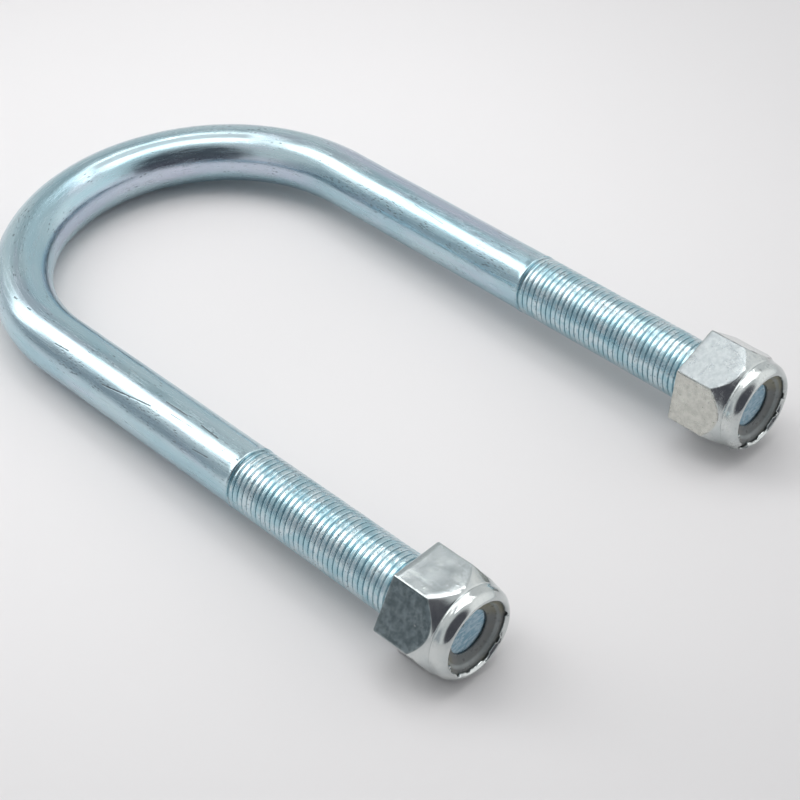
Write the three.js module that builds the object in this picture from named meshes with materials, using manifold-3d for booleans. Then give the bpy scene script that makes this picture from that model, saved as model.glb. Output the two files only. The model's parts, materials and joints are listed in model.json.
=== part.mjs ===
// Round-bend U-bolt with two nylon-insert lock nuts.
// Millimetres, +Z up. The origin is the centre of the bend, on the centreline of the rod.
// The legs run from the bend towards -Y, and +Z is square to the plane of the U.
import * as THREE from "three";
import { mergeVertices } from "three/addons/utils/BufferGeometryUtils.js";
import Module from "manifold-3d";

const wasm = await Module();
wasm.setup();

// The bent rod.
const ROD_DIAMETER = 12.7;
const INSIDE_WIDTH = 66.7;
const INSIDE_LENGTH = 146.05;
const BEND_STEPS = 24;
const SIDES = 16;

// The thread, 20 turns to the inch, on both legs.
const PITCH = 1.27;
const THREAD_LENGTH = 55.5;
const THREAD_DEPTH = 0.78;
const RUN_OUT_LENGTH = 2.5;
const END_FACE_RADIUS = 4.9;
const THREAD_CLEARANCE = 0.4;

// The lock nuts.
const ACROSS_FLATS = 19.05;
const NUT_HEIGHT = 14.8;
const HEX_CORNER_HEIGHT = 7.95;
const HEX_CHAMFER_SLOPE = 1.9;
const COLLAR_RADIUS = 9.15;
const COLLAR_STRAIGHT_HEIGHT = 12.6;
const LIP_TOP_RADIUS = 8.1;
const LIP_EDGE_RADIUS = 7.36;
const LIP_THICKNESS = 0.9;
const INSERT_SEAT_HEIGHT = 11.4;
const INSERT_CAVITY_RADIUS = 8.2;
const COUNTERSINK_RADIUS = 7.1;
const COUNTERSINK_DEPTH = 1.2;
const THREAD_END_IN_NUT = 12.1;
const ROUND_SEGMENTS = 48;

// The nylon inserts.
const INSERT_GAP = 0.3;
const INSERT_BORE_RADIUS = 5.7;
const INSERT_CROWN_RADIUS = 6.9;
const INSERT_CROWN_HEIGHT = 13.5;
const INSERT_BORE_EDGE_HEIGHT = 12.5;

// Each nut lies on the leg at its own angle: the direction of one corner, from +X towards +Z.
const LEGS = [
  { side: "left", x: -1, cornerAngle: 119.8 },
  { side: "right", x: 1, cornerAngle: 140.3 },
];

// Worked out from the driving dimensions.
const ROD_RADIUS = ROD_DIAMETER / 2;
const BEND_RADIUS = (INSIDE_WIDTH + ROD_DIAMETER) / 2;
const LEG_LENGTH = INSIDE_LENGTH - INSIDE_WIDTH / 2;
const BEND_LENGTH = Math.PI * BEND_RADIUS;
const ROD_LENGTH = 2 * LEG_LENGTH + BEND_LENGTH;
const BEARING_FACE_Y = THREAD_END_IN_NUT - LEG_LENGTH;

const zinc = { color: 0xa9b8bf, roughness: 0.28, metalness: 1 };
const nutZinc = { color: 0xb4bcbc, roughness: 0.32, metalness: 1 };
const nylon = { color: 0x4a4d50, roughness: 0.45, metalness: 0 };

// Thread points of one column: a crest and a root in turn, half a pitch apart, along a right-hand helix.
function helixPoints(phase, from, to, column, radiusAt) {
  const points = [];
  const turn = column / SIDES;
  let half = Math.ceil(2 * ((from - phase) / PITCH - turn));
  let s = phase + PITCH * (half / 2 + turn);
  while (s < to) {
    points.push({ s, r: radiusAt(s, half % 2 === 0) });
    half += 1;
    s += PITCH / 2;
  }
  return points;
}

// A closed skin over columns of points. Each column keeps one angle about the bar, and place() puts
// a point at distance s along the bar, at that angle and radius. Neighbouring columns are joined in
// the order in which a right-hand helix meets them, so that crests run on into crests.
function barGeometry(columns, place) {
  const positions = [];
  const indices = [];
  const firstIndex = [];
  columns.forEach((column, j) => {
    firstIndex.push(positions.length / 3);
    column.forEach((point) => positions.push(...place(point.s, (2 * Math.PI * j) / SIDES, point.r)));
  });
  const startCentre = positions.length / 3;
  positions.push(...place(columns[0][0].s, 0, 0));
  const endCentre = startCentre + 1;
  positions.push(...place(columns[0].at(-1).s, 0, 0));
  columns.forEach((column, j) => {
    const next = (j + 1) % SIDES;
    const neighbour = columns[next];
    const a = firstIndex[j];
    const b = firstIndex[next];
    let i = 0;
    let k = 0;
    indices.push(startCentre, b, a);
    while (i < column.length - 1 || k < neighbour.length - 1) {
      const ownNext = i < column.length - 1 ? column[i + 1].s + PITCH / SIDES : Infinity;
      const otherNext = k < neighbour.length - 1 ? neighbour[k + 1].s : Infinity;
      if (ownNext <= otherNext) {
        indices.push(a + i, b + k, a + i + 1);
        i += 1;
      } else {
        indices.push(a + i, b + k, b + k + 1);
        k += 1;
      }
    }
    indices.push(endCentre, a + i, b + k);
  });
  const geometry = new THREE.BufferGeometry();
  geometry.setAttribute("position", new THREE.Float32BufferAttribute(positions, 3));
  geometry.setIndex(indices);
  return geometry;
}

// A point of the bent rod: s runs up the left leg, round the bend and down the right leg, and the
// angle goes from the outside of the U towards +Z.
function placeOnRod(s, angle, r) {
  const outward = r * Math.cos(angle);
  const height = r * Math.sin(angle);
  if (s <= LEG_LENGTH) {
    return [-BEND_RADIUS - outward, s - LEG_LENGTH, height];
  }
  if (s >= ROD_LENGTH - LEG_LENGTH) {
    return [BEND_RADIUS + outward, ROD_LENGTH - s - LEG_LENGTH, height];
  }
  const turn = Math.PI - (s - LEG_LENGTH) / BEND_RADIUS;
  const reach = BEND_RADIUS + outward;
  return [reach * Math.cos(turn), reach * Math.sin(turn), height];
}

// A point of a straight bar on the Y axis; the angle goes from +Z towards +X.
function placeOnAxis(s, angle, r) {
  return [r * Math.sin(angle), s, r * Math.cos(angle)];
}

// Radius of the rod's thread at a distance from the end of its leg.
function rodThreadRadius(distance, crest) {
  const depth = THREAD_DEPTH * Math.min(1, (THREAD_LENGTH - distance) / RUN_OUT_LENGTH);
  const radius = crest ? ROD_RADIUS : ROD_RADIUS - depth;
  return Math.min(radius, END_FACE_RADIUS + distance);
}

// Everything on the right leg is the left leg moved across, so its thread starts at the same angle.
function uBoltGeometry() {
  const columns = [];
  for (let j = 0; j < SIDES; j += 1) {
    const leftPhase = -PITCH / 4;
    const rightPhase = ROD_LENGTH - PITCH / 4;
    const margin = PITCH / 4;
    const column = [{ s: 0, r: END_FACE_RADIUS }];
    column.push(...helixPoints(leftPhase, margin, THREAD_LENGTH - margin, j, rodThreadRadius));
    column.push({ s: THREAD_LENGTH, r: ROD_RADIUS });
    for (let step = 0; step <= BEND_STEPS; step += 1) {
      column.push({ s: LEG_LENGTH + (BEND_LENGTH * step) / BEND_STEPS, r: ROD_RADIUS });
    }
    column.push({ s: ROD_LENGTH - THREAD_LENGTH, r: ROD_RADIUS });
    const rightThread = helixPoints(
      rightPhase, ROD_LENGTH - THREAD_LENGTH + margin, ROD_LENGTH - margin, j,
      (s, crest) => rodThreadRadius(ROD_LENGTH - s, crest),
    );
    column.push(...rightThread);
    column.push({ s: ROD_LENGTH, r: END_FACE_RADIUS });
    columns.push(column);
  }
  return barGeometry(columns, placeOnRod);
}

// The nut's thread as a solid: the leg's own thread, larger by the clearance. Its origin is the middle
// of the nut's bearing face, which lies THREAD_END_IN_NUT from the end of the leg.
function tapGeometry() {
  const radiusAt = (s, crest) => ROD_RADIUS + THREAD_CLEARANCE - (crest ? 0 : THREAD_DEPTH);
  const from = -NUT_HEIGHT;
  const to = 2 * PITCH;
  const columns = [];
  for (let j = 0; j < SIDES; j += 1) {
    const column = [{ s: from, r: ROD_RADIUS }];
    column.push(...helixPoints(-THREAD_END_IN_NUT, from + PITCH / 4, to - PITCH / 4, j, radiusAt));
    column.push({ s: to, r: ROD_RADIUS });
    columns.push(column);
  }
  return barGeometry(columns, placeOnAxis);
}

// A turned solid about the Y axis. Points are radius and height, and height goes from the bearing
// face towards the end of the leg, which is -Y.
function turned(points) {
  const profile = points.map(([r, height]) => new THREE.Vector2(r, -height)).reverse();
  return new THREE.LatheGeometry(profile, ROUND_SEGMENTS);
}

// A hexagonal bar about the Y axis, from the bearing face towards -Y.
function hexagonGeometry(height, cornerAngle) {
  const cornerRadius = ACROSS_FLATS / Math.sqrt(3);
  const corners = [];
  for (let k = 0; k < 6; k += 1) {
    const angle = THREE.MathUtils.degToRad(60 * k + cornerAngle);
    corners.push(new THREE.Vector2(cornerRadius * Math.cos(angle), cornerRadius * Math.sin(angle)));
  }
  const bar = new THREE.ExtrudeGeometry(new THREE.Shape(corners), { depth: height, bevelEnabled: false });
  return bar.rotateX(Math.PI / 2);
}

function toSolid(geometry) {
  const bare = geometry.clone();
  bare.deleteAttribute("normal");
  bare.deleteAttribute("uv");
  const merged = mergeVertices(bare, 1e-4);
  const vertProperties = Float32Array.from(merged.attributes.position.array);
  const triVerts = Uint32Array.from(merged.index.array);
  return new wasm.Manifold(new wasm.Mesh({ numProp: 3, vertProperties, triVerts }));
}

function toGeometry(solid) {
  const mesh = solid.getMesh();
  const geometry = new THREE.BufferGeometry();
  geometry.setAttribute("position", new THREE.Float32BufferAttribute(mesh.vertProperties, 3));
  geometry.setIndex(Array.from(mesh.triVerts));
  return geometry;
}

// Steel body of a lock nut: hexagon with steep corner chamfers, and a round collar crimped inwards
// over the insert.
function nutBodyGeometry(cornerAngle) {
  const cornerRadius = ACROSS_FLATS / Math.sqrt(3);
  const chamferTop = HEX_CORNER_HEIGHT + HEX_CHAMFER_SLOPE * (cornerRadius - COLLAR_RADIUS);
  const wide = cornerRadius + 1;
  const chamfer = turned([
    [0, -1], [wide, -1], [wide, HEX_CORNER_HEIGHT - HEX_CHAMFER_SLOPE],
    [COLLAR_RADIUS, chamferTop], [0, chamferTop],
  ]);
  const collar = turned([
    [0, HEX_CORNER_HEIGHT], [COLLAR_RADIUS, HEX_CORNER_HEIGHT],
    [COLLAR_RADIUS, COLLAR_STRAIGHT_HEIGHT], [9.0, 13.7], [8.6, 14.5],
    [LIP_TOP_RADIUS, NUT_HEIGHT], [0, NUT_HEIGHT],
  ]);
  const lipUnderside = NUT_HEIGHT - LIP_THICKNESS;
  const cavity = turned([
    [0, INSERT_SEAT_HEIGHT], [INSERT_CAVITY_RADIUS, INSERT_SEAT_HEIGHT],
    [INSERT_CAVITY_RADIUS, lipUnderside], [LIP_EDGE_RADIUS, lipUnderside],
    [LIP_TOP_RADIUS - 0.2, NUT_HEIGHT + 0.01], [0, NUT_HEIGHT + 0.01],
  ]);
  const countersink = turned([
    [0, -0.5], [COUNTERSINK_RADIUS + 0.5, -0.5],
    [COUNTERSINK_RADIUS - COUNTERSINK_DEPTH, COUNTERSINK_DEPTH], [0, COUNTERSINK_DEPTH],
  ]);
  const hexagon = hexagonGeometry(chamferTop, cornerAngle);
  const body = toSolid(hexagon).intersect(toSolid(chamfer)).add(toSolid(collar));
  const hollow = body.subtract(toSolid(cavity)).subtract(toSolid(countersink));
  return toGeometry(hollow.subtract(toSolid(tapGeometry())));
}

// Nylon ring held in the collar, with a rounded outer face.
function insertGeometry() {
  const foot = INSERT_SEAT_HEIGHT + INSERT_GAP;
  const rim = INSERT_CAVITY_RADIUS - INSERT_GAP;
  const ring = turned([
    [INSERT_BORE_RADIUS, foot], [rim, foot], [rim, INSERT_CROWN_HEIGHT - 0.4],
    [INSERT_CROWN_RADIUS, INSERT_CROWN_HEIGHT], [6.1, 13.2],
    [INSERT_BORE_RADIUS, INSERT_BORE_EDGE_HEIGHT], [INSERT_BORE_RADIUS, foot],
  ]);
  return ring;
}

function namedMesh(name, geometry, look) {
  const mesh = new THREE.Mesh(geometry, new THREE.MeshStandardMaterial(look));
  mesh.name = name;
  return mesh;
}

const part = new THREE.Group();
part.add(namedMesh("u_bolt", uBoltGeometry(), zinc));
for (const leg of LEGS) {
  const nut = new THREE.Group();
  nut.position.set(leg.x * BEND_RADIUS, BEARING_FACE_Y, 0);
  nut.add(namedMesh(`${leg.side}_nut_body`, nutBodyGeometry(leg.cornerAngle), nutZinc));
  nut.add(namedMesh(`${leg.side}_nylon_insert`, insertGeometry(), nylon));
  part.add(nut);
}

export default part;
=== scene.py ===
"""A round-bend U-bolt with a nylon-insert lock nut on each leg.

The rod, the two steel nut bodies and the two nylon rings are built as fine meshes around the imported
CAD frame, in metres, and take procedural zinc and nylon materials. Drawn dimensions are in millimetres.
"""
import json
import math

import bpy
import numpy as np
from mathutils import Matrix, Vector


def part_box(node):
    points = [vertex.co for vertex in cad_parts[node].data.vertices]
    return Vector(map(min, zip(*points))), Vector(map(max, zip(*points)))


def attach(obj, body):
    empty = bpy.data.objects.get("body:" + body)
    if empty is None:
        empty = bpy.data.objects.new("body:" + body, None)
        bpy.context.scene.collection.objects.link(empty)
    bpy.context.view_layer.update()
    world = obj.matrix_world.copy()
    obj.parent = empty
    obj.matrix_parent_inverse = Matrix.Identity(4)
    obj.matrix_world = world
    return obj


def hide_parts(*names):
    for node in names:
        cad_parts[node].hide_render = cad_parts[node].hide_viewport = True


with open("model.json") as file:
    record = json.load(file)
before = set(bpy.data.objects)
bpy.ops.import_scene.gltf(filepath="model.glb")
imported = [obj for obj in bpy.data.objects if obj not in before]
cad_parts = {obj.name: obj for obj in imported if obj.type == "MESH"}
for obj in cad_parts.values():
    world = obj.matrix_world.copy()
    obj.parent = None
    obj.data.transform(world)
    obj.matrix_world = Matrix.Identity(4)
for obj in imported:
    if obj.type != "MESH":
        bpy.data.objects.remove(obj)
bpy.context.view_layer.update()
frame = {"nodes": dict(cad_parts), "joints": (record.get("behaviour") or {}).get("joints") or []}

MM = 0.001
TURN = 2 * math.pi

# ---------------------------------------------------------------------------------------------
# Sizes taken from the CAD frame, in millimetres.
rod_low, rod_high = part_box("u_bolt")
ROD_RADIUS = rod_high.z / MM
BEND_RADIUS = rod_high.x / MM - ROD_RADIUS
LEG_LENGTH = -rod_low.y / MM
ROD_LENGTH = 2 * LEG_LENGTH + math.pi * BEND_RADIUS

# The thread, 20 turns to the inch.
PITCH = 1.27
THREAD_LENGTH = 55.5
END_FACE_RADIUS = 4.9
NECK_DEPTH = 0.54
NECK_START = THREAD_LENGTH - 0.5
NECK_RISE = 1.5

# One turn of the rolled thread: place along the pitch from the middle of a crest, and depth in mm.
ROD_THREAD = [
    (0.00, 0.000), (0.24, 0.000), (0.30, 0.008), (0.33, 0.040), (0.38, 0.150), (0.44, 0.320), (0.50, 0.410),
    (0.56, 0.320), (0.62, 0.150), (0.67, 0.040), (0.70, 0.008), (0.76, 0.000),
]
# The rolled rim where a thread starts: distance from the neck towards the bend, and depth.
NECK_SECTION = [
    (0, NECK_DEPTH), (0.10, 0.54), (0.22, 0.42), (0.34, 0.12), (0.42, -0.05), (0.52, -0.10), (0.68, -0.10),
    (0.9, -0.05), (1.3, 0.0),
]
SHANK_MARGIN = 2.0
SHANK_ROWS = 172
SHANK_SKIN = 0.02
# The cut end of a leg: radius and depth.
END_SECTION = [
    (END_FACE_RADIUS, 0), (4.75, 0.03), (4.5, 0.02), (3.6, 0.07), (2.6, 0.16), (1.5, 0.22), (0.7, 0.24), (0.0, 0.25),
]
ROD_SIDES = 64
# A thread's rows that come nearer to its end than this are moved on to the end.
ROD_SNAP = 0.03
NUT_SNAP = 0.04

# The lock nut: radii and heights above its bearing face.
ACROSS_FLATS = 19.05
CORNER_RADIUS = ACROSS_FLATS / math.sqrt(3)
CORNER_ROUND = 0.55
HEX_CORNER_HEIGHT = 7.95
CHAMFER_SLOPE = 1.9
LIP_EDGE_RADIUS = 7.12
CAVITY_RADIUS = 8.2
SEAT_HEIGHT = 11.4
COUNTERSINK_RADIUS = 7.1
COUNTERSINK_DEPTH = 1.2
NUT_THREAD_CLEARANCE = 0.13
END_IN_NUT = 12.1
# Sections of the nut: radius and height. The crimped collar from the lip to the foot, and the bead and the
# shallow groove at its foot.
CRIMP = [
    (7.30, 14.45), (7.46, 14.62), (7.64, 14.71), (7.84, 14.68), (8.08, 14.53), (8.32, 14.30), (8.56, 14.03),
    (8.78, 13.72), (8.95, 13.40), (9.07, 13.05), (9.13, 12.70), (9.15, 12.35),
]
COLLAR_FOOT = [
    (9.17, 12.15), (9.24, 11.98), (9.27, 11.86), (9.22, 11.74), (9.06, 11.64), (9.00, 11.54), (9.07, 11.44),
    (9.20, 11.36),
]
CONE_TOP = 11.30
# One turn of the nut's thread: place along the pitch from the rod's crest, and how far it stands inwards.
NUT_THREAD = [(0.0, 0.0), (0.31, 0.02), (0.45, 0.33), (0.5, 0.38), (0.55, 0.33), (0.69, 0.02)]
# Torn places of each lip: direction from +X towards +Z, half-width, and how far out the edge goes.
TORN = {
    "left": [
        (2, 6, 0.30), (318, 7, 0.20), (288, 9, 0.35), (252, 6, 0.22), (228, 6, 0.35), (200, 8, -0.30),
        (133, 5, 0.35), (121, 6, -0.50), (60, 5, 0.10),
    ],
    "right": [
        (352, 7, 0.30), (318, 6, 0.28), (290, 6, 0.25), (262, 13, 0.35), (231, 14, 1.90), (205, 8, -0.45),
        (152, 5, 0.40), (141, 6, -0.55), (40, 6, 0.12),
    ],
}
# The nylon ring's section before its corners are rounded.
INSERT_SECTION = [
    (5.75, 11.6), (8.1, 11.6), (8.1, 13.75), (7.6, 13.9), (6.9, 13.78), (6.5, 13.62), (6.2, 13.2), (5.6, 12.85),
    (5.05, 12.65), (4.50, 12.50), (4.44, 12.34), (4.44, 12.14), (4.60, 12.13), (5.2, 12.10), (5.5, 12.0),
]
RING_SIDES = 96

# Zones, which each mesh carries for its material. On the rod: shank, thread and end face. On a nut: open
# faces, the hexagon's corners and rims, the torn edge, just under it, and everything inside.
SHANK, THREAD, END_FACE = 0.0, 1.0, 2.0
OPEN, RIM, TORN_EDGE, UNDER_EDGE, INSIDE = 0.0, 0.2, 0.3, 0.5, 1.0


def smooth(low, high, x):
    t = np.clip((x - low) / (high - low), 0, 1)
    return t * t * (3 - 2 * t)


def wave_noise(a, b, seed, octaves=5):
    """Smooth noise of two angles, periodic in both, from a fixed set of waves. About -1 to 1."""
    rng = np.random.default_rng(seed)
    total = np.zeros(np.broadcast(a, b).shape)
    weight = 0
    for octave in range(octaves):
        for _ in range(4):
            m, n = rng.integers(-2, 3, 2) * 2 ** octave + rng.integers(0, 2, 2)
            phase = rng.uniform(0, TURN)
            share = 0.6 ** octave
            total = total + share * np.sin(m * a + n * b + phase)
            weight += share * share / 2
    return total / (1.8 * math.sqrt(weight))


def build_mesh(name, patches, body, node, material):
    """One object from patches of (points, faces, coordinates, tag), welded where they meet."""
    points, faces, flat, tags = [], [], [], []
    start = 0
    for co, quads, along, tag in patches:
        points.append(co)
        flat.append(along)
        tags.append(np.broadcast_to(tag, (len(co),)))
        faces.append(np.asarray(quads) + start)
        start += len(co)
    points = np.concatenate(points) * MM
    flat = np.concatenate(flat) * MM
    tags = np.concatenate(tags)
    keys = np.round(points / 2e-7).astype(np.int64)
    _, first, index = np.unique(keys, axis=0, return_index=True, return_inverse=True)
    index = index.reshape(-1)
    faces = index[np.concatenate(faces)]
    loops = []
    for quad in faces.tolist():
        ring = [v for i, v in enumerate(quad) if v != quad[i - 1]]
        if len(ring) > 2 and len(set(ring)) == len(ring):
            loops.append(ring)
    mesh = bpy.data.meshes.new(name)
    mesh.from_pydata(points[first].tolist(), [], loops)
    mesh.polygons.foreach_set("use_smooth", np.ones(len(loops), bool))
    straight = mesh.attributes.new("straight", "FLOAT_VECTOR", "POINT")
    straight.data.foreach_set("vector", flat[first].astype(np.float32).ravel())
    tag_layer = mesh.attributes.new("zone", "FLOAT", "POINT")
    tag_layer.data.foreach_set("value", tags[first].astype(np.float32))
    mesh.update()
    mesh.validate()
    obj = bpy.data.objects.new(name, mesh)
    bpy.context.scene.collection.objects.link(obj)
    mesh.materials.append(material)
    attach(obj, body)
    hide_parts(node)
    return obj


def strip_faces(rows, columns, shift=0):
    """Quads between neighbouring rows and columns. The last column meets the first, `shift` rows on."""
    quads = []
    for j in range(columns):
        last = j == columns - 1
        nxt = 0 if last else j + 1
        lift = shift if last else 0
        i = np.arange(rows - 1 - lift)
        a = i * columns + j
        b = (i + lift) * columns + nxt
        quads.append(np.stack([a, b, b + columns, a + columns], 1))
    return np.concatenate(quads)


# ---------------------------------------------------------------------------------------------
# The rod. s runs up the left leg, round the bend and down the right leg; theta goes from the
# outside of the U towards +Z.


def place_on_rod(s, theta, r):
    outward = r * np.cos(theta)
    height = r * np.sin(theta)
    turn = np.clip(math.pi - (s - LEG_LENGTH) / BEND_RADIUS, 0, math.pi)
    reach = BEND_RADIUS + outward
    before = np.minimum(s - LEG_LENGTH, 0)
    after = np.maximum(s - (ROD_LENGTH - LEG_LENGTH), 0)
    x = reach * np.cos(turn)
    y = reach * np.sin(turn) + before - after
    return np.stack([x, y, np.broadcast_to(height, np.shape(x))], -1)


def rod_points(s, theta, r):
    """Points on the bent rod, with the place each would have on a straight one."""
    s, theta, r = np.broadcast_arrays(s, theta, r)
    co = place_on_rod(s, theta, r).reshape(-1, 3)
    along = np.stack([r * np.cos(theta), s - ROD_LENGTH / 2, r * np.sin(theta)], -1).reshape(-1, 3)
    return co, along


def thread_patch(right):
    """A leg's thread: rows follow the helix, and are cut off square at the end face and at the neck."""
    if right:
        low, high, phase = ROD_LENGTH - NECK_START, ROD_LENGTH, ROD_LENGTH - PITCH / 4
    else:
        low, high, phase = 0, NECK_START, -PITCH / 4
    first = math.floor((low - phase) / PITCH) - 2
    turns = math.ceil((high - low) / PITCH) + 4
    place = np.array([f for f, _ in ROD_THREAD])
    depth = np.array([d for _, d in ROD_THREAD])
    rows = (first + np.arange(turns)[:, None] + place[None, :]).ravel()
    depth = np.tile(depth, turns)
    column = np.arange(ROD_SIDES) / ROD_SIDES
    s = phase + PITCH * (rows[:, None] + column[None, :])
    s = np.where(s < low + ROD_SNAP, low, np.where(s > high - ROD_SNAP, high, s))
    from_end = ROD_LENGTH - s if right else s
    theta = np.broadcast_to(TURN * column[None, :], s.shape)
    worn = 0.020 * wave_noise(s * 0.9, theta * 2, 11)
    r = ROD_RADIUS - np.maximum(depth[:, None] + worn, 0)
    r = np.minimum(r, END_FACE_RADIUS + from_end)
    r = np.minimum(r, ROD_RADIUS - NECK_DEPTH + NECK_RISE * (NECK_START - from_end))
    r = np.where(s == low, (ROD_RADIUS - NECK_DEPTH) if right else END_FACE_RADIUS, r)
    r = np.where(s == high, END_FACE_RADIUS if right else (ROD_RADIUS - NECK_DEPTH), r)
    co, along = rod_points(s, theta, r)
    return co, strip_faces(len(rows), ROD_SIDES, len(ROD_THREAD)), along, THREAD


def shank_patch():
    """Both shanks and the bend, with a rolled rim where each thread starts."""
    low, high = NECK_START + SHANK_MARGIN, ROD_LENGTH - NECK_START - SHANK_MARGIN
    body = np.linspace(low, high, SHANK_ROWS)
    offset, neck_depth = np.array(NECK_SECTION).T
    s = np.concatenate([NECK_START + offset, body, (ROD_LENGTH - NECK_START - offset)[::-1]])
    depth = np.concatenate([neck_depth, np.zeros(len(body)), neck_depth[::-1]])
    theta = TURN * np.arange(ROD_SIDES) / ROD_SIDES
    s, theta = s[:, None], theta[None, :]
    in_bend = smooth(LEG_LENGTH - 8, LEG_LENGTH + 12, s) * smooth(LEG_LENGTH - 8, LEG_LENGTH + 12, ROD_LENGTH - s)
    inside = np.clip(-np.cos(theta), 0, 1)
    wavy = 0.022 * wave_noise(s * TURN / 60, theta, 3, 3)
    wavy = wavy * smooth(0, 6, s - NECK_START) * smooth(0, 6, ROD_LENGTH - NECK_START - s)
    wrinkle = 0.016 * in_bend * inside ** 2 * np.sin(s * TURN / 4.6 + 1.5 * np.sin(s * TURN / 31))
    r = ROD_RADIUS - depth[:, None] + (wavy + wrinkle - SHANK_SKIN) * (depth[:, None] == 0)
    co, along = rod_points(s, theta, r)
    zone = np.where(depth[:, None] > 0.03, THREAD, SHANK) * np.ones_like(theta)
    return co, strip_faces(len(s), ROD_SIDES), along, zone.ravel()


def end_patch(right):
    """The cut end of a leg: a slightly dished disc, as rolling leaves it."""
    theta = TURN * np.arange(ROD_SIDES) / ROD_SIDES
    radius, depth = np.array(END_SECTION).T
    r = radius[:, None] * np.ones(ROD_SIDES)
    dish = depth[:, None] + 0.02 * wave_noise(theta, r * 0.9, 5, 3) * (r < 4.6)
    dish = np.where(r == 0, depth[-1], dish)
    s = ROD_LENGTH - dish if right else dish
    co, along = rod_points(s, theta[None, :], r)
    quads = strip_faces(len(END_SECTION), ROD_SIDES)
    if not right:
        quads = quads[:, ::-1]
    return co, quads, along, END_FACE


# ---------------------------------------------------------------------------------------------
# The nuts. Heights go from the bearing face towards the end of the leg, which is -Y.


def hexagon_columns(corner_angle):
    """Angles of the columns, close together at the corners, and the hexagon's radius in each."""
    near = [0, 0.35, 0.7, 1.05, 1.4, 1.75, 2.2, 2.9, 3.8, 5.0] + [6.4 + 1.4 * k for k in range(17)] + [30.0]
    offsets = sorted(set([-d for d in near[:-1]] + near))
    apothem = ACROSS_FLATS / 2
    centre = (apothem - CORNER_ROUND) / math.cos(math.pi / 6)
    angles, radii = [], []
    for k in range(6):
        for offset in offsets:
            d = math.radians(offset)
            flat = apothem / math.cos(math.pi / 6 - abs(d))
            inside = CORNER_ROUND ** 2 - (centre * math.sin(d)) ** 2
            tangent = math.atan2(CORNER_ROUND / 2, centre + CORNER_ROUND * math.cos(math.pi / 6))
            rounded = centre * math.cos(d) + math.sqrt(max(inside, 0))
            angles.append(corner_angle + k * math.pi / 3 + d)
            radii.append(rounded if abs(d) < tangent else flat)
    return np.array(angles), np.array(radii)


def lip_edge(angle, torn, seed):
    """Radius of the crimped lip's edge: a rough circle with torn notches and a tab or two."""
    edge = LIP_EDGE_RADIUS + 0.05 * wave_noise(angle, angle * 0, seed, 5)
    jagged = np.abs(wave_noise(angle * 9, angle * 0, seed + 5, 3))
    for at, width, depth in torn:
        away = np.abs((angle - math.radians(at) + math.pi) % TURN - math.pi)
        share = 1 - smooth(0.45, 1, away / math.radians(width))
        edge = edge + depth * share * (0.6 + 0.9 * jagged)
    return edge


def on_axis(axis, angle, r, height):
    """Points about a leg's axis. The angle goes from +X towards +Z."""
    angle, r, height = np.broadcast_arrays(angle, r, height)
    local = np.stack([r * np.cos(angle), -height, r * np.sin(angle)], -1).reshape(-1, 3)
    return local + np.array(axis), local


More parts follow.
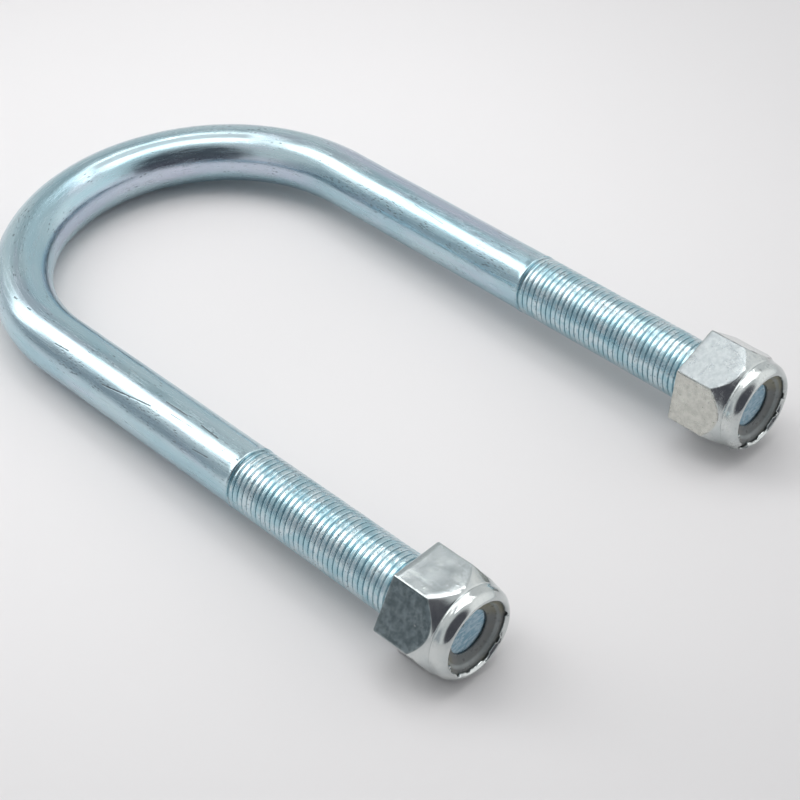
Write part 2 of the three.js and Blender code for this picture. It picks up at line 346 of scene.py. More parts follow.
def nut_patches(axis, corner_angle, torn, seed):
    """A nut's shell, in one strip of rows from the seat over the lip to the countersink, and its thread."""
    angle, hexagon = hexagon_columns(corner_angle)
    ridge = HEX_CORNER_HEIGHT + CHAMFER_SLOPE * (CORNER_RADIUS - hexagon)
    edge = lip_edge(angle, torn, seed)
    ragged = 0.10 * wave_noise(angle * 3, angle * 0, seed + 1, 4)
    crimp_r, crimp_height = np.array(CRIMP).T
    top = np.interp(edge + 0.18, crimp_r, crimp_height)
    from_corner = np.abs((angle - corner_angle + math.pi / 6) % (math.pi / 3) - math.pi / 6)
    corner = RIM * (1 - smooth(math.radians(0.8), math.radians(2.6), from_corner))
    thread_low = COUNTERSINK_DEPTH
    minor = ROD_RADIUS - 0.50 + NUT_THREAD_CLEARANCE
    bore_at_seat = minor + 0.5
    sink = COUNTERSINK_RADIUS - COUNTERSINK_DEPTH
    rows = []

    def row(r, height, zone=OPEN):
        rows.append([np.broadcast_to(value, angle.shape) for value in (r, height, zone)])

    # Inside the collar: the seat, the cavity and the underside of the lip, up to the torn edge.
    row(bore_at_seat, SEAT_HEIGHT, INSIDE)
    row(minor + 1.2, SEAT_HEIGHT, INSIDE)
    row(CAVITY_RADIUS - 0.15, SEAT_HEIGHT, INSIDE)
    row(CAVITY_RADIUS, SEAT_HEIGHT + 0.15, INSIDE)
    row(CAVITY_RADIUS, 12.6, INSIDE)
    row(CAVITY_RADIUS, np.minimum(13.55, top - 0.9), INSIDE)
    row(np.maximum(CAVITY_RADIUS - 0.12, edge + 0.20), np.minimum(13.8, top - 0.72), INSIDE)
    row(np.maximum(edge + 0.15, CAVITY_RADIUS - 0.55), np.minimum(13.92, top - 0.62), INSIDE)
    row(edge + 0.04, top - 0.55, UNDER_EDGE)
    row(edge, top - 0.44 + 0.4 * ragged, TORN_EDGE)
    row(edge + 0.3 * ragged, top - 0.30 + 0.8 * ragged)
    row(edge + 0.07, top - 0.13 + 0.6 * ragged)
    # Over the crimp and down the collar.
    for k, r in enumerate(crimp_r):
        r = np.maximum(r, edge + 0.18 + 0.04 * k)
        row(r, np.interp(r, crimp_r, crimp_height))
    # The foot of the collar, then the chamfer cone.
    for r, height in COLLAR_FOOT:
        row(r, height)
    cone_low = ridge + 0.35
    for share in (1.0, 0.8, 0.6, 0.4, 0.2, 0.0):
        height = cone_low + (CONE_TOP - cone_low) * share
        row(CORNER_RADIUS - (height - HEX_CORNER_HEIGHT) / CHAMFER_SLOPE, height)
    # The rounded ridge and the flats, which are very slightly hollow.
    for inwards, rise in [(0.104, 0.178), (0.046, 0.012), (0.012, -0.147)]:
        row(hexagon - inwards, ridge + rise, RIM)
    row(hexagon, ridge - 0.30, corner)
    for share in (0.85, 0.7, 0.55, 0.4, 0.25, 0.12):
        row(hexagon - 0.03 * math.sin(math.pi * share), (ridge - 0.3) * share, corner)
    row(hexagon, 0.32, np.maximum(corner, 0.08))
    row(hexagon - 0.04, 0.15, RIM)
    row(hexagon - 0.14, 0.04)
    row(hexagon - 0.30, 0.0)
    # The bearing face and the countersink.
    row(0.55 * hexagon + 0.45 * COUNTERSINK_RADIUS, 0.0)
    row(COUNTERSINK_RADIUS + 0.15, 0.0)
    row(COUNTERSINK_RADIUS, 0.04)
    row(sink + 0.08, thread_low - 0.08)
    row(sink, thread_low, INSIDE)

    # Small dents of handling.
    r, height, zone = np.array(rows).transpose(1, 0, 2)
    dents = 0.018 * wave_noise(angle[None, :] * 2, height * 1.3, seed + 2, 4)
    free = (r > LIP_EDGE_RADIUS + 0.3) & (height > 0.1) & (zone < UNDER_EDGE)
    r = r + np.where(free, np.minimum(dents, 0.0), 0.0)
    co, local = on_axis(axis, angle[None, :], r, height)
    # Facing outwards: height falls as the rows go round the outside.
    shell = (co, strip_faces(len(rows), len(angle)), local, zone.ravel())

    # The internal thread meets the shell at its first and last rows.
    place, cut = np.array(NUT_THREAD).T
    turn = (angle - angle[0]) / TURN
    # On the leg a crest lies at a whole number of pitches from its end in the direction of +Z, and
    # comes nearer to the bend as the angle from +X towards +Z falls.
    crest = END_IN_NUT + PITCH * ((angle[0] - math.pi / 2) / TURN)
    first = math.floor((thread_low - crest) / PITCH) - 2
    turns = math.ceil((SEAT_HEIGHT - thread_low) / PITCH) + 5
    base = (first + np.arange(turns)[:, None] + place[None, :]).ravel()
    h = crest + PITCH * (base[:, None] + turn[None, :])
    h = np.where(h < thread_low + NUT_SNAP, thread_low, np.where(h > SEAT_HEIGHT - NUT_SNAP, SEAT_HEIGHT, h))
    bore = ROD_RADIUS + NUT_THREAD_CLEARANCE - np.tile(cut, turns)[:, None]
    bore = np.maximum(bore, sink - (h - thread_low))
    bore = np.where(h == thread_low, sink, np.where(h == SEAT_HEIGHT, bore_at_seat, bore))
    co, local = on_axis(axis, angle[None, :], bore, h)
    thread = (co, strip_faces(len(base), len(angle), len(place))[:, ::-1], local, INSIDE)
    return [shell, thread]


def ring_patch(axis, section):
    """A closed ring about a leg's axis from its section of (radius, height)."""
    angle = TURN * np.arange(RING_SIDES) / RING_SIDES
    r, height = np.concatenate([section, section[:1]]).T
    co, local = on_axis(axis, angle[None, :], r[:, None], height[:, None])
    return co, strip_faces(len(r), RING_SIDES), local, OPEN


def rounded(points, steps):
    """A closed section with its corners cut off again and again, so that it turns smoothly."""
    section = np.array(points, float)
    for _ in range(steps):
        after = np.roll(section, -1, 0)
        section = np.stack([0.75 * section + 0.25 * after, 0.25 * section + 0.75 * after], 1).reshape(-1, 2)
    return section


# ---------------------------------------------------------------------------------------------
# Materials.


class Nodes:
    """Short calls for building a shader."""

    def __init__(self, name):
        self.material = bpy.data.materials.new(name)
        self.material.use_nodes = True
        self.tree = self.material.node_tree
        self.tree.nodes.clear()

    def set(self, socket, value):
        """Link an output to the socket, or give it a value."""
        if isinstance(value, bpy.types.NodeSocket):
            self.tree.links.new(value, socket)
        elif value is not None:
            socket.default_value = value

    def add(self, kind, inputs=None, **props):
        node = self.tree.nodes.new(kind)
        for key, value in props.items():
            setattr(node, key, value)
        for key, value in (inputs or {}).items():
            self.set(node.inputs[key], value)
        return node

    def attribute(self, name, output="Vector"):
        return self.add("ShaderNodeAttribute", attribute_name=name).outputs[output]

    def math(self, op, a, b=None, clamp=False):
        node = self.add("ShaderNodeMath", operation=op, use_clamp=clamp)
        self.set(node.inputs[0], a)
        self.set(node.inputs[1], b)
        return node.outputs[0]

    def vector(self, op, a, b=None):
        """A vector operation: a number for DOT_PRODUCT and LENGTH, a vector otherwise."""
        node = self.add("ShaderNodeVectorMath", operation=op)
        self.set(node.inputs[0], a)
        self.set(node.inputs[1], b)
        return node.outputs["Value" if op in ("DOT_PRODUCT", "LENGTH") else "Vector"]

    def scaled(self, vector, x, y, z):
        return self.add("ShaderNodeVectorMath", {0: vector, 1: (x, y, z)}, operation="MULTIPLY").outputs[0]

    def noise(self, vector, scale=1.0, detail=4.0, roughness=0.55, distortion=0.0):
        inputs = {"Vector": vector, "Scale": scale, "Detail": detail, "Roughness": roughness,
                  "Distortion": distortion}
        return self.add("ShaderNodeTexNoise", inputs).outputs["Fac"]

    def cells(self, vector, scale):
        """The distance to the nearest of many scattered points."""
        return self.add("ShaderNodeTexVoronoi", {"Vector": vector, "Scale": scale}).outputs["Distance"]

    def span(self, value, low, high, to_low=0.0, to_high=1.0):
        """The value's range low to high mapped on to_low to to_high, with soft ends."""
        inputs = {"Value": value, "From Min": low, "From Max": high, "To Min": to_low, "To Max": to_high}
        return self.add("ShaderNodeMapRange", inputs, interpolation_type="SMOOTHSTEP").outputs["Result"]

    def mix(self, share, a, b):
        node = self.add("ShaderNodeMix", data_type="RGBA")
        self.set(node.inputs["Factor"], share)
        self.set(node.inputs["A"], a)
        self.set(node.inputs["B"], b)
        return node.outputs["Result"]

    def bump(self, height, distance, strength):
        inputs = {"Height": height, "Distance": distance, "Strength": strength}
        return self.add("ShaderNodeBump", inputs).outputs["Normal"]

    def finish(self, **inputs):
        names = {key.replace("_", " "): value for key, value in inputs.items()}
        shader = self.add("ShaderNodeBsdfPrincipled", names)
        output = self.add("ShaderNodeOutputMaterial")
        self.tree.links.new(shader.outputs[0], output.inputs[0])
        return self.material


def tone(r, g, b):
    return (r, g, b, 1.0)


# Marks on the shank: where each starts and ends (s in mm, theta in degrees), its half-width in mm and its depth.
SCRATCHES = [
    (80, 60, 93, 42, 0.19, 1.0), (105, 56, 109, 53, 0.17, 0.9), (62, 44, 66, 41, 0.14, 0.8),
    (69, 71, 75, 69, 0.12, 0.7), (125, 65, 126, 63, 0.22, 0.8), (120, 73, 121, 72, 0.20, 0.7),
    (262, 112, 271, 119, 0.07, 0.7), (150, 75, 152, 68, 0.12, 0.6), (182, 160, 182.3, 184, 0.10, 0.45),
    (190, 158, 190.2, 180, 0.09, 0.4), (196.5, 162, 196.3, 186, 0.12, 0.45), (63, 82, 68, 84, 0.20, 0.9),
    (72, 84, 78, 83, 0.18, 0.8),
]
# Long marks on the shank: theta in degrees, from s to s in mm, half-width in mm, and how softly the ends fade in mm.
# They are lines of small pits, a painted reflection (a darker, bluer band where the shank reflects a dim part of the
# room), and a mauve tint.
PIT_LINES = [
    (30, 56, 118, 0.55, 6), (84, 56, 106, 0.42, 6), (103, 240, 294, 0.40, 6), (138, 240, 294, 0.9, 6),
    (94, 112, 156, 0.14, 6), (46, 56, 112, 0.7, 6), (150, 228, 292, 0.5, 6),
]
# A painted reflection: a darker, bluer band along the shank where it reflects a dim part of the room.
DARK_REFLECTION_LINES = [(39, 56, 165, 1.5, 20)]
MAUVE_LINES = [(72, 226, 292, 1.7, 12), (172, 140, 240, 2.2, 15)]
# A duller, rougher band along the crown, painted darker: a painted gap that splits the crown's highlight into two
# stripes. In the same order.
CROWN_BAND = (110, 172, 216, 0.6, 4)


def straight_place(s, degrees):
    """The place of a mark on the straightened bar, in metres."""
    turn = math.radians(degrees)
    return Vector((ROD_RADIUS * math.cos(turn), s - ROD_LENGTH / 2, ROD_RADIUS * math.sin(turn))) * MM


def scratch_marks(n, point):
    """How deep the handling marks are at a point: 0 away from them."""
    wobble = n.math("MULTIPLY", n.math("SUBTRACT", n.noise(point, 900, 3), 0.5), 0.00022)
    total = None
    for s0, t0, s1, t1, width, depth in SCRATCHES:
        start, end = straight_place(s0, t0), straight_place(s1, t1)
        run = end - start
        away = n.vector("SUBTRACT", point, start)
        share = n.math("DIVIDE", n.vector("DOT_PRODUCT", away, run), run.length_squared, clamp=True)
        step = n.add("ShaderNodeVectorMath", {0: run, "Scale": share}, operation="SCALE").outputs[0]
        distance = n.math("ADD", n.vector("LENGTH", n.vector("SUBTRACT", away, step)), wobble)
        mark = n.span(distance, 0.3 * width * MM, 1.2 * width * MM, depth, 0.0)
        total = mark if total is None else n.math("MAXIMUM", total, mark)
    return total


def line_mask(n, point, wobble, degrees, low, high, width, fade):
    """The same as long_mark, worked out in a material: 1 along a line on the bar, with a wobble in metres."""
    turn = math.radians(degrees)
    across = n.vector("DOT_PRODUCT", point, Vector((-math.sin(turn), 0, math.cos(turn))))
    facing = n.vector("DOT_PRODUCT", point, Vector((math.cos(turn), 0, math.sin(turn))))
    along = n.vector("DOT_PRODUCT", point, Vector((0, 1, 0)))
    off_line = n.math("ABSOLUTE", n.math("ADD", across, wobble))
    line = n.span(off_line, 0.5 * width * MM, 1.4 * width * MM, 1.0, 0.0)
    line = n.math("MULTIPLY", line, n.span(facing, 0.0, 0.003))
    middle, half = (low + high - ROD_LENGTH) / 2 * MM, (high - low) / 2 * MM
    reach = n.span(n.math("ABSOLUTE", n.math("SUBTRACT", along, middle)), half - fade * MM, half, 1.0, 0.0)
    return n.math("MULTIPLY", line, reach)


def pit_speckle(n, point):
    """Broken specks, for the lines of pits along the bar."""
    speckle = n.span(n.cells(n.scaled(point, 2600, 900, 2600), 1.0), 0.16, 0.42, 1.0, 0.0)
    broken = n.span(n.noise(n.scaled(point, 260, 190, 260), 1.0, 3), 0.40, 0.54)
    return n.math("MULTIPLY", speckle, broken)


def long_mark(s, theta, degrees, low, high, width, fade):
    """1 along a line on the bar at an angle theta, from s to s in mm, with a half-width and a fade in mm."""
    turn = (theta - math.radians(degrees) + math.pi) % TURN - math.pi
    across = ROD_RADIUS * turn + 0.35 * wave_noise(s * TURN / 90, theta, 31 + int(degrees), 4)
    reach = np.minimum(s - low, high - s)
    return (1 - smooth(0.5 * width, 1.4 * width, np.abs(across))) * smooth(0, fade, reach)


def mark_bar(mesh):
    """Where the shank has lines of pits (x), a painted darker, bluer band of reflection (y) and a mauve tint (z)."""
    straight = np.zeros(3 * len(mesh.vertices), np.float32)
    mesh.attributes["straight"].data.foreach_get("vector", straight)
    x, y, z = straight.reshape(-1, 3).T / MM
    s, theta = y + ROD_LENGTH / 2, np.arctan2(z, x)
    marks = [np.max([long_mark(s, theta, *line) for line in lines], 0)
             for lines in (PIT_LINES, DARK_REFLECTION_LINES, MAUVE_LINES)]
    layer = mesh.attributes.new("marks", "FLOAT_VECTOR", "POINT")
    layer.data.foreach_set("vector", np.stack(marks, 1).astype(np.float32).ravel())


def rod_material():
    """Blue-passivated zinc on drawn bar: draw marks, pits and scratches along it, and bluer rolled threads. Painted
    shade in the thread's roots, a painted darker band of reflection along the shank and a painted gap in the crown's
    highlight are part of the colour.
    """
    n = Nodes("zinc_rod")
    straight = n.attribute("straight")
    zone = n.attribute("zone", "Fac")
    thread = n.span(zone, 0.2, 0.8)
    end = n.span(zone, 1.2, 1.8)
    shank = n.math("SUBTRACT", 1.0, thread)
    # Draw marks: fine round the bar and long along it.
    fine = n.noise(n.scaled(straight, 2300, 170, 2300), detail=6, roughness=0.65)
    broad = n.noise(n.scaled(straight, 560, 48, 560), detail=5, roughness=0.6)
    cloud = n.noise(n.scaled(straight, 90, 28, 90), detail=3)
    grain = n.noise(straight, 2600, 4, 0.6)
    pits = n.span(n.cells(n.scaled(straight, 1700, 520, 1700), 1.0), 0.10, 0.30, 1.0, 0.0)
    sparse = n.span(n.noise(n.scaled(straight, 260, 80, 260), detail=3), 0.53, 0.64)
    pits = n.math("MULTIPLY", pits, sparse)
    marked = n.add("ShaderNodeSeparateXYZ", {0: n.attribute("marks")}).outputs
    pits = n.math("MAXIMUM", pits, n.math("MULTIPLY", marked[0], pit_speckle(n, straight)))
    pits = n.math("MULTIPLY", pits, shank)
    marks = n.math("MULTIPLY", scratch_marks(n, straight), shank)
    scuff = n.span(n.noise(n.scaled(straight, 800, 150, 800), detail=6, roughness=0.7), 0.54, 0.70)
    colour = n.mix(n.span(cloud, 0.38, 0.62), tone(0.41, 0.585, 0.655), tone(0.515, 0.655, 0.705))
    colour = n.mix(n.span(n.noise(n.scaled(straight, 240, 34, 240), detail=3), 0.50, 0.70, 0, 0.45), colour,
                   tone(0.57, 0.60, 0.70))
    colour = n.mix(n.span(broad, 0.54, 0.72, 0, 0.35), colour, tone(0.37, 0.54, 0.62))
    patch = n.noise(n.scaled(straight, 330, 260, 330), detail=4)
    rolled = n.mix(n.span(patch, 0.38, 0.62), tone(0.41, 0.59, 0.65), tone(0.62, 0.725, 0.76))
    turned = n.noise(n.scaled(straight, 800, 2000, 800), detail=4, roughness=0.65)
    rolled = n.mix(n.span(turned, 0.45, 0.70, 0, 0.5), rolled, tone(0.30, 0.50, 0.60))
    colour = n.mix(thread, colour, rolled)
    # The roots of the thread are painted darker, a painted shade in the grooves: the distance from the rod's axis
    # tells them.
    across = n.vector("LENGTH", n.scaled(straight, 1, 0, 1))
    root_shade = n.span(across, (ROD_RADIUS - 0.38) * MM, (ROD_RADIUS - 0.10) * MM, 1.0, 0.0)
    wall = n.span(across, (ROD_RADIUS - 0.65) * MM, (ROD_RADIUS - 0.50) * MM)
    root_shade = n.math("MULTIPLY", n.math("MULTIPLY", root_shade, thread), wall)
    colour = n.mix(n.math("MULTIPLY", root_shade, 0.48), colour, tone(0.14, 0.25, 0.29))
    nicks = n.span(n.cells(n.scaled(straight, 1300, 1300, 1300), 1.0), 0.10, 0.24, 1.0, 0.0)
    nicks = n.math("MULTIPLY", n.math("MULTIPLY", nicks, thread), n.span(patch, 0.46, 0.56))
    streak = n.noise(n.scaled(straight, 900, 500, 2600), detail=3, distortion=0.8)
    disc = n.mix(n.span(streak, 0.38, 0.62), tone(0.24, 0.41, 0.52), tone(0.46, 0.60, 0.68))
    colour = n.mix(end, colour, disc)
    # Painted reflection: the darker, bluer band along the shank.
    colour = n.mix(n.math("MULTIPLY", marked[1], 0.45), colour, tone(0.30, 0.40, 0.47))
    colour = n.mix(n.math("MULTIPLY", marked[2], 0.45), colour, tone(0.60, 0.56, 0.70))
    colour = n.mix(n.math("MULTIPLY", n.math("MAXIMUM", pits, nicks), 0.85), colour, tone(0.11, 0.14, 0.16))
    colour = n.mix(n.math("MULTIPLY", marks, 0.9), colour, tone(0.10, 0.11, 0.12))
    colour = n.mix(n.math("MULTIPLY", scuff, n.math("MULTIPLY", shank, 0.35)), colour, tone(0.38, 0.44, 0.47))
    rough = n.span(fine, 0.3, 0.7, 0.15, 0.30)
    rough = n.math("ADD", rough, n.math("MULTIPLY", scuff, 0.10))
    rough = n.math("SUBTRACT", rough, n.math("MULTIPLY", thread, 0.04))
    rough = n.math("ADD", rough, n.math("MULTIPLY", end, 0.16))
    band_wobble = n.math("MULTIPLY", n.math("SUBTRACT", broad, 0.5), 0.0004)
    # Painted reflection gap: the crown band is painted darker so that the highlight there splits in two; it is also
    # rougher.
    crown_band = line_mask(n, straight, band_wobble, *CROWN_BAND)
    colour = n.mix(n.math("MULTIPLY", crown_band, 0.75), colour, tone(0.22, 0.26, 0.28))
    rough = n.math("ADD", rough, n.math("MULTIPLY", crown_band, 0.15))
    height = n.math("ADD", n.math("MULTIPLY", fine, 0.7), n.math("MULTIPLY", broad, 0.9))
    height = n.math("ADD", height, n.math("MULTIPLY", grain, 0.4))
    height = n.math("ADD", height, n.math("MULTIPLY", n.math("MULTIPLY", turned, thread), 6.0))
    height = n.math("SUBTRACT", height, n.math("MULTIPLY", n.math("MAXIMUM", pits, nicks), 1.6))
    height = n.math("SUBTRACT", height, n.math("MULTIPLY", marks, 3.0))
    normal = n.bump(height, 0.000014, 0.6)
    return n.finish(Base_Color=colour, Metallic=1.0, Roughness=rough, Normal=normal)


def nut_material(name, wear, faces):
    """Zinc plate dulled by tumbling with other nuts: the more wear, from 0 to 1, the more nicks and scratches. Shade
    inside the nut and the reflections of the listed faces are painted into the colour.
    """
    n = Nodes(name)
    straight = n.attribute("straight")
    zone = n.attribute("zone", "Fac")
    shade = n.noise(straight, 240, 4, 0.6)
    speck = n.noise(straight, 1500, 5, 0.65)
    along = n.noise(n.scaled(straight, 2600, 500, 900), detail=4, distortion=1.2)
    across = n.noise(n.scaled(straight, 700, 2900, 700), detail=4, distortion=1.5)
    scratch = n.math("MAXIMUM", along, across)
    nick = n.span(n.cells(straight, 620), 0.07, 0.20, 1.0, 0.0)
    nick = n.math("MULTIPLY", nick, n.span(n.noise(straight, 190, 3), 0.56 - 0.06 * wear, 0.66 - 0.06 * wear))
    # Dark nicks where the hexagon's edges are bruised.
    edge = n.math("MULTIPLY", n.span(zone, 0.04, 0.16), n.span(zone, 0.22, 0.28, 1.0, 0.0))
    bruise = n.math("MULTIPLY", edge, n.span(n.noise(straight, 520, 5, 0.6), 0.60 - 0.09 * wear, 0.66 - 0.09 * wear))
    colour = n.mix(n.span(shade, 0.35, 0.65), tone(0.56, 0.60, 0.60), tone(0.66, 0.69, 0.68))
    colour = n.mix(n.span(speck, 0.52, 0.72, 0, 0.2 + 0.3 * wear), colour, tone(0.38, 0.41, 0.42))
    colour = n.mix(n.math("MULTIPLY", n.math("MAXIMUM", nick, bruise), 0.8), colour, tone(0.13, 0.13, 0.14))
    # Everything inside the nut is painted darker: painted shade in the cavity, under the lip and down the thread.
    colour = n.mix(n.span(zone, 0.6, 0.9, 0, 0.55), colour, tone(0.22, 0.25, 0.26))
    rough = n.span(shade, 0.3, 0.7, 0.10, 0.17 + 0.07 * wear)
    rough = n.math("ADD", rough, n.span(scratch, 0.50, 0.75, 0, 0.03 + 0.10 * wear))
    # Each listed face is painted its own mottled colour: a painted reflection and shade of what that face sees, with
    # added roughness.
    for degrees, dark, light, scale, roughen in faces:
        turn = math.radians(degrees)
        outward = n.vector("DOT_PRODUCT", straight, Vector((math.cos(turn), 0, math.sin(turn))))
        face = n.span(outward, (ACROSS_FLATS / 2 - 0.16) * MM, (ACROSS_FLATS / 2 - 0.05) * MM)
        face_paint = n.mix(n.span(n.noise(straight, scale, 5, 0.65), 0.36, 0.64), tone(*dark), tone(*light))
        share = n.math("MULTIPLY", face, n.math("SUBTRACT", 0.92, n.math("MULTIPLY", nick, 0.7)))
        colour = n.mix(share, colour, face_paint)
        rough = n.math("ADD", rough, n.math("MULTIPLY", face, roughen))
    height = n.math("ADD", n.math("MULTIPLY", speck, 0.3 + 0.4 * wear), n.math("MULTIPLY", scratch, 0.3 + 0.6 * wear))
    height = n.math("SUBTRACT", height, n.math("MULTIPLY", n.math("MAXIMUM", nick, bruise), 1.6))
    normal = n.bump(height, 0.000025, 0.5)
    return n.finish(Base_Color=colour, Metallic=1.0, Roughness=rough, Normal=normal)


def nylon_material():
    """Dark nylon, with a paler ring painted on it: a painted highlight."""
    n = Nodes("nylon")
    straight = n.attribute("straight")
    shade = n.noise(straight, 160, 3)
    colour = n.mix(n.span(shade, 0.35, 0.65), tone(0.125, 0.14, 0.142), tone(0.165, 0.17, 0.165))
    colour = n.mix(n.span(n.noise(straight, 90, 2), 0.48, 0.62, 0, 0.8), colour, tone(0.20, 0.19, 0.11))
    # The painted highlight, a paler ring, lies between 5.9 and 6.8 mm from the leg's axis.
    from_axis = n.vector("LENGTH", n.scaled(straight, 1, 0, 1))
    highlight_ring = n.math("MULTIPLY", n.span(from_axis, 0.0059, 0.0063), n.span(from_axis, 0.0063, 0.0068, 1.0, 0.0))
    highlight_ring = n.math("MULTIPLY", highlight_ring, n.span(n.noise(straight, 300, 3), 0.25, 0.65, 0.35, 0.8))
    colour = n.mix(highlight_ring, colour, tone(0.36, 0.40, 0.40))
    rough = n.span(n.noise(straight, 900, 4), 0.3, 0.7, 0.26, 0.38)
    normal = n.bump(n.noise(straight, 1300, 3), 0.00002, 0.3)
    return n.finish(Base_Color=colour, Roughness=rough, Normal=normal)


# ---------------------------------------------------------------------------------------------
# The pieces.
SIDES = ("left", "right")
WEAR = {"left": 0.1, "right": 1.0}
# Faces of each hexagon painted their own colour, a painted reflection and shade of what each face sees: dark slate on
# the left nut's face towards -X, the warm grey of the floor on the right nut's face towards -X, an evener grey on the
# left nut's top face and a duller grey on the right nut's upper face, which is also rougher with wear. Columns:
# outward angle from +X towards +Z, darker and lighter colour, scale of the mottling and added roughness.
PAINTED_NUT_FACES = {
    "left": [
        (149.8, (0.085, 0.115, 0.125), (0.20, 0.245, 0.26), 800, 0.06),
        (89.8, (0.52, 0.565, 0.575), (0.57, 0.61, 0.615), 300, 0.0),
    ],
    "right": [
        (110.3, (0.32, 0.355, 0.37), (0.41, 0.445, 0.455), 1000, 0.13),
        (170.3, (0.50, 0.50, 0.46), (0.63, 0.63, 0.58), 700, 0.03),
    ],
}

zinc_rod = rod_material()
zinc_nuts = {side: nut_material(f"zinc_nut_{side}", WEAR[side], PAINTED_NUT_FACES[side]) for side in SIDES}
nylon = nylon_material()

rod_patches = [thread_patch(False), shank_patch(), thread_patch(True), end_patch(False), end_patch(True)]
bar = build_mesh("bent_rod", rod_patches, "rod", "u_bolt", zinc_rod)
mark_bar(bar.data)

for number, side in enumerate(SIDES):
    joint = next(j for j in frame["joints"] if j["name"] == f"{side}_nut_turn")
    axis = [c / MM for c in joint["pos_m"]]
    # The CAD nut tells how the hexagon is turned: the vertex farthest from the axis is a corner.
    corners = np.array([v.co for v in frame["nodes"][f"{side}_nut_body"].data.vertices]) / MM - np.array(axis)
    farthest = corners[np.argmax(np.hypot(corners[:, 0], corners[:, 2]))]
    corner_angle = math.atan2(farthest[2], farthest[0])
    build_mesh(f"{side}_lock_nut", nut_patches(axis, corner_angle, TORN[side], 20 + 10 * number),
               f"{side}_nut", f"{side}_nut_body", zinc_nuts[side])
    build_mesh(f"{side}_nylon_ring", [ring_patch(axis, rounded(INSERT_SECTION, 2))],
               f"{side}_carrier", f"{side}_nylon_insert", nylon)

# ---------------------------------------------------------------------------------------------
# The floor, the lights and the camera.


# The table touches a flat of the left nut, a corner of the right one and the underside of the bend. It is given
# by a point of it and its slope along x and y, in mm.
TABLE_POINT = (-45.2, -100.6, -ACROSS_FLATS / 2)
TABLE_SLOPE = (-0.01583, 0.0265)
TABLE_HALF = 3000


def floor_height(x, y):
    """The height of the table under a place, in mm."""
    at_x, at_y, height = TABLE_POINT
    return height + TABLE_SLOPE[0] * (x - at_x) + TABLE_SLOPE[1] * (y - at_y)


def add_floor():
    """Pale paper, painted brighter under the part and darker further out: a painted pool of light."""
    corners = [(i * TABLE_HALF, j * TABLE_HALF) for i, j in ((-1, -1), (1, -1), (1, 1), (-1, 1))]
    mesh = bpy.data.meshes.new("table")
    mesh.from_pydata([(x * MM, y * MM, floor_height(x, y) * MM) for x, y in corners], [], [(0, 1, 2, 3)])
    n = Nodes("table_paper")
    place = n.add("ShaderNodeTexCoord").outputs["Object"]
    away = n.vector("LENGTH", n.vector("SUBTRACT", place, Vector((0.0, 0.02, 0.0))))
    # Painted pool of light: the paper's colour darkens with distance from under the part.
    colour = n.mix(n.span(away, 0.06, 0.22), tone(0.85, 0.835, 0.84), tone(0.635, 0.625, 0.63))
    colour = n.mix(n.span(n.noise(place, 6, 2), 0.3, 0.7, 0, 0.25), colour, tone(0.74, 0.73, 0.73))
    mesh.materials.append(n.finish(Base_Color=colour, Roughness=0.7))
    floor = bpy.data.objects.new("table", mesh)
    bpy.context.scene.collection.objects.link(floor)


# Outlines of the panels overhead, as ratios of their height: two with a narrow gap between them, one back and to
# the left, one above and to the right, and a brighter strip along the right one's outer edge.
BACK_PANEL = [
    (-0.42, 0.21), (-0.10, 0.34), (0.02, 0.46), (0.14, 0.60), (0.12, 0.74), (0.15, 0.85), (0.06, 1.1),
    (-0.04, 1.4), (-0.30, 1.9), (-0.75, 2.6), (-1.3, 3.6), (-2.2, 5.4), (-2.0, 4.0), (-1.5, 2.4), (-1.1, 1.5),
    (-0.80, 1.06), (-0.68, 0.92), (-0.72, 0.79), (-0.66, 0.6),
]
TOP_PANEL = [
    (-0.44, 0.07), (-0.13, 0.27), (0.10, 0.46), (0.28, 0.56), (0.50, 0.62), (0.52, 0.40), (0.50, 0.10),
    (0.52, -0.30), (0.46, -0.56), (0.30, -0.42), (0.12, -0.28), (-0.20, -0.14),
]
EDGE_STRIP = [
    (0.51, 0.62), (0.60, 0.60), (0.60, 0.50), (0.60, 0.30), (0.67, 0.0), (0.76, -0.28), (0.74, -0.40),
    (0.66, -0.3), (0.58, 0.0), (0.50, 0.3), (0.50, 0.55),
]
PANEL_HEIGHT = 2000
PANEL_STEP = 0.02
ROOM_GLOW = 0.70


def soft_polygon(x, y, corners, softness):
    """1 inside a polygon and 0 outside it, with a soft edge on the inner side."""
    inside = np.zeros(x.shape, bool)
    nearest = np.full(x.shape, 1e9)
    for (ax, ay), (bx, by) in zip(corners, corners[1:] + corners[:1]):
        crosses = (ay > y) != (by > y)
        at = ax + (y - ay) * (bx - ax) / np.where(crosses, by - ay, 1)
        inside ^= crosses & (x < at)
        share = np.clip(((x - ax) * (bx - ax) + (y - ay) * (by - ay)) / ((bx - ax) ** 2 + (by - ay) ** 2), 0, 1)
        nearest = np.minimum(nearest, np.hypot(x - ax - share * (bx - ax), y - ay - share * (by - ay)))
    return smooth(0, softness, np.where(inside, nearest, 0))


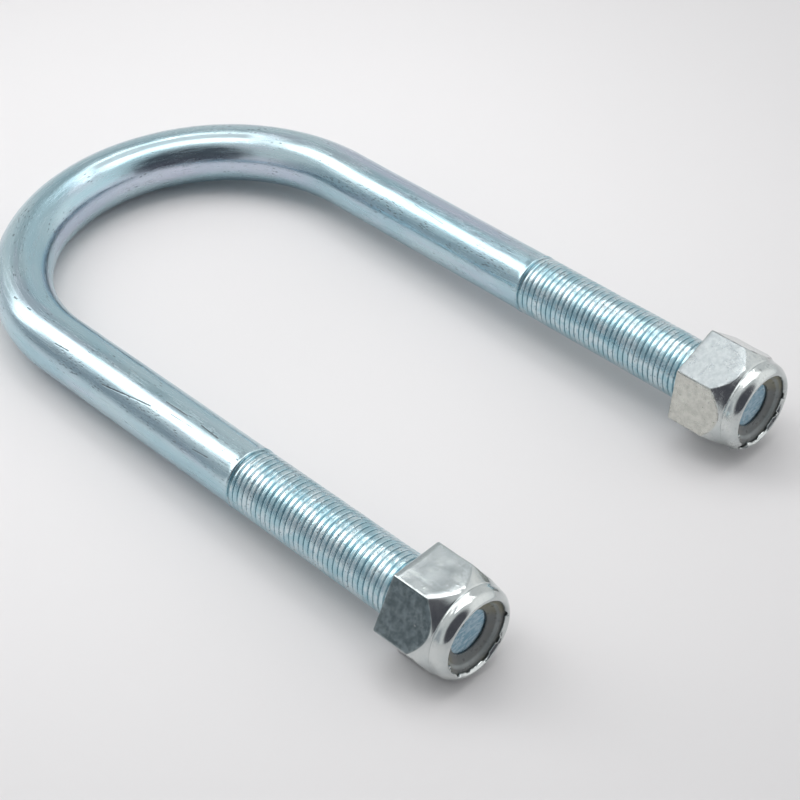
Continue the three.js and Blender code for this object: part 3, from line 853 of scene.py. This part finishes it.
def light_panel(name, corners, softness, strength, dim=None):
    """A diffusing panel overhead, facing down: it fades to the room's brightness at its edge. `dim` is a duller
    spot: x, y, radius and share."""
    step = PANEL_STEP
    low, high = np.min(corners, 0) - step, np.max(corners, 0) + step
    x, y = np.meshgrid(np.arange(low[0], high[0] + step, step), np.arange(low[1], high[1] + step, step))
    mask = soft_polygon(x, y, corners, softness)
    bright = np.full(x.shape, strength)
    if dim:
        at_x, at_y, radius, share = dim
        bright = bright * (1 - share * (1 - smooth(0.3 * radius, radius, np.hypot(x - at_x, y - at_y))))
    glow = ROOM_GLOW + (bright - ROOM_GLOW) * mask
    rows, columns = x.shape
    first = (np.arange(rows - 1)[:, None] * columns + np.arange(columns - 1)[None, :]).ravel()
    quads = np.stack([first, first + columns, first + columns + 1, first + 1], 1)
    quads = quads[mask.ravel()[quads].max(1) > 0]
    used, index = np.unique(quads, return_inverse=True)
    points = np.stack([x.ravel(), y.ravel(), np.ones(x.size)], -1)[used] * PANEL_HEIGHT * MM
    mesh = bpy.data.meshes.new(name)
    mesh.from_pydata(points.tolist(), [], index.reshape(quads.shape).tolist())
    layer = mesh.attributes.new("glow", "FLOAT", "POINT")
    layer.data.foreach_set("value", glow.ravel()[used].astype(np.float32))
    n = Nodes(name)
    emission = n.add("ShaderNodeEmission", {"Color": tone(1.0, 1.0, 1.0), "Strength": n.attribute("glow", "Fac")})
    output = n.add("ShaderNodeOutputMaterial")
    n.tree.links.new(emission.outputs[0], output.inputs[0])
    mesh.materials.append(n.material)
    card = bpy.data.objects.new(name, mesh)
    bpy.context.scene.collection.objects.link(card)
    card.visible_camera = False


def add_world():
    """A pale room, dark where the photographer stands and in a low band behind on the left."""
    world = bpy.data.worlds.new("studio")
    bpy.context.scene.world = world
    world.use_nodes = True
    tree = world.node_tree
    tree.nodes.clear()

    def new(kind, **props):
        node = tree.nodes.new(kind)
        for key, value in props.items():
            setattr(node, key, value)
        return node

    def near_direction(direction, low, high):
        toward = new("ShaderNodeVectorMath", operation="DOT_PRODUCT")
        tree.links.new(coordinates, toward.inputs[0])
        toward.inputs[1].default_value = Vector(direction).normalized()
        return span(toward.outputs["Value"], low, high)

    def span(value, low, high):
        node = new("ShaderNodeMapRange", interpolation_type="SMOOTHSTEP")
        tree.links.new(value, node.inputs["Value"])
        for key, number in (("From Min", low), ("From Max", high), ("To Min", 0.0), ("To Max", 1.0)):
            node.inputs[key].default_value = number
        return node.outputs["Result"]

    def blend(share, a, b):
        node = new("ShaderNodeMix", data_type="RGBA")
        tree.links.new(share, node.inputs["Factor"])
        if isinstance(a, tuple):
            node.inputs["A"].default_value = a
        else:
            tree.links.new(a, node.inputs["A"])
        node.inputs["B"].default_value = b
        return node.outputs["Result"]

    coordinates = new("ShaderNodeTexCoord").outputs["Generated"]
    height = new("ShaderNodeSeparateXYZ")
    tree.links.new(coordinates, height.inputs[0])
    low_band = new("ShaderNodeMath", operation="MULTIPLY")
    tree.links.new(near_direction((-0.83, 0.56, 0.0), 0.75, 0.93), low_band.inputs[0])
    tree.links.new(span(height.outputs["Z"], 0.60, 0.34), low_band.inputs[1])
    room = blend(near_direction((0.35, 0.75, 0.75), 0.93, 0.99), tone(0.70, 0.715, 0.72), tone(0.50, 0.53, 0.54))
    room = blend(near_direction((0.65, -0.65, 0.30), 0.72, 0.95), room, tone(1.05, 1.05, 1.05))
    room = blend(low_band.outputs[0], room, tone(0.42, 0.45, 0.48))
    room = blend(near_direction((-0.45, -0.77, 0.46), 0.71, 0.87), room, tone(0.09, 0.09, 0.105))
    background = new("ShaderNodeBackground")
    tree.links.new(room, background.inputs["Color"])
    output = new("ShaderNodeOutputWorld")
    tree.links.new(background.outputs[0], output.inputs[0])


# The camera: azimuth, elevation and roll in degrees, what it looks at and from how far in mm, and its lens.
CAMERA_ANGLES = (-43.48, 41.344, -2.571)
CAMERA_TARGET = (-5.097, -61.973, 0)
CAMERA_DISTANCE = 381.36
CAMERA_LENS = 88.34
CAMERA_SENSOR = 36


def add_camera():
    azimuth, elevation, roll = (math.radians(degrees) for degrees in CAMERA_ANGLES)
    target = Vector(CAMERA_TARGET) * MM
    distance = CAMERA_DISTANCE * MM
    back = Vector((math.sin(azimuth) * math.cos(elevation), -math.cos(azimuth) * math.cos(elevation),
                   math.sin(elevation)))
    right = Vector((math.cos(azimuth), math.sin(azimuth), 0))
    up = back.cross(right)
    level = Matrix((right * math.cos(roll) + up * math.sin(roll),
                    up * math.cos(roll) - right * math.sin(roll), back)).transposed()
    data = bpy.data.cameras.new("camera")
    data.lens = CAMERA_LENS
    data.sensor_width = CAMERA_SENSOR
    data.clip_start = 0.01
    camera = bpy.data.objects.new("camera", data)
    bpy.context.scene.collection.objects.link(camera)
    camera.matrix_world = Matrix.Translation(target + back * distance) @ level.to_4x4()
    bpy.context.scene.camera = camera


add_floor()
add_world()
light_panel("back_panel", BACK_PANEL, 0.17, 3.0)
light_panel("top_panel", TOP_PANEL, 0.07, 3.2, dim=(0.14, 0.16, 0.30, 0.5))
light_panel("edge_strip", EDGE_STRIP, 0.02, 4.2)
add_camera()
bpy.context.scene.view_settings.view_transform = "Standard"
